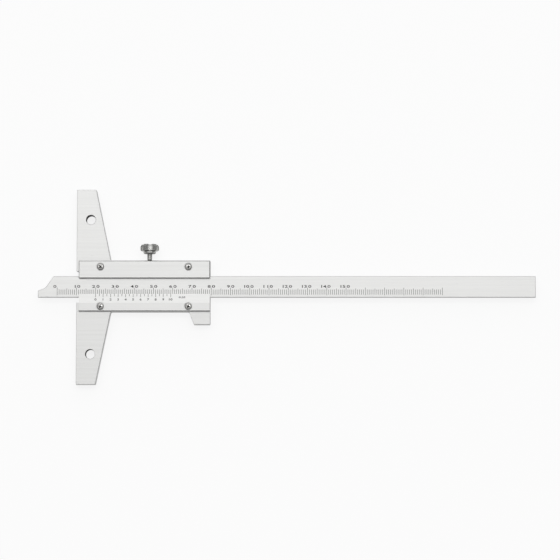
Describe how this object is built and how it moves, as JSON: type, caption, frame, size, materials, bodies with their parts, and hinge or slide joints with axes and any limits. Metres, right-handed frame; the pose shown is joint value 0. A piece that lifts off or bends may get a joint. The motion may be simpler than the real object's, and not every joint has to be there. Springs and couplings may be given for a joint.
{
  "type": "vernier depth gauge",
  "caption": "Vernier depth gauge: a tapered T base with a channelled slider, a graduated sliding beam with a narrow nose, a bevelled vernier plate and a lobed clamp screw.",
  "frame": {"origin": "where the beam's centreline crosses the plane of the base's measuring face, at the level of the gauge's back", "axes": "+X along the beam away from the measured part, +Y along the base towards the clamp screw, +Z out of the scale side"},
  "size_m": [0.2585, 0.1014, 0.0096],
  "materials": {
    "frame_steel": "satin, finely ground along the beam",
    "beam_steel": "satin chrome on the scale face, ground edges",
    "plate_steel": "satin",
    "screw_steel": "polished",
    "spring_bronze": "rolled phosphor bronze strip",
    "pad_brass": "turned",
    "knob_steel": "plated, knurled"
  },
  "bodies": {
    "frame": {"base_frame": "frame_steel", "cover_plate": "plate_steel", "vernier_plate": "plate_steel", "cover_screw_front": "screw_steel", "cover_screw_rear": "screw_steel", "vernier_screw_front": "screw_steel", "vernier_screw_rear": "screw_steel", "gib_spring": "spring_bronze", "gib_screw_front": "screw_steel", "gib_screw_rear": "screw_steel"},
    "beam": {"beam": "beam_steel"},
    "clamp_pad": {"clamp_pad": "pad_brass"},
    "clamp_screw": {"clamp_screw": "knob_steel"}
  },
  "joints": [
    {"name": "beam_slide", "type": "slide", "parent": "frame", "child": "beam", "axis": [-1, 0, 0], "range_m": [-0.02, 0.13]},
    {"name": "pad_slide", "type": "slide", "parent": "frame", "child": "clamp_pad", "axis": [0, 1, 0], "range_m": [0, 0.0009]},
    {"name": "clamp_turn", "type": "hinge", "parent": "clamp_pad", "child": "clamp_screw", "pos_m": [0.0379, 0.015, 0.00495], "axis": [0, 1, 0], "range_deg": [0, 720]}
  ],
  "couplings": [
    {"joint": "clamp_turn", "follows": "pad_slide", "rad_per_m": 13963}
  ]
}
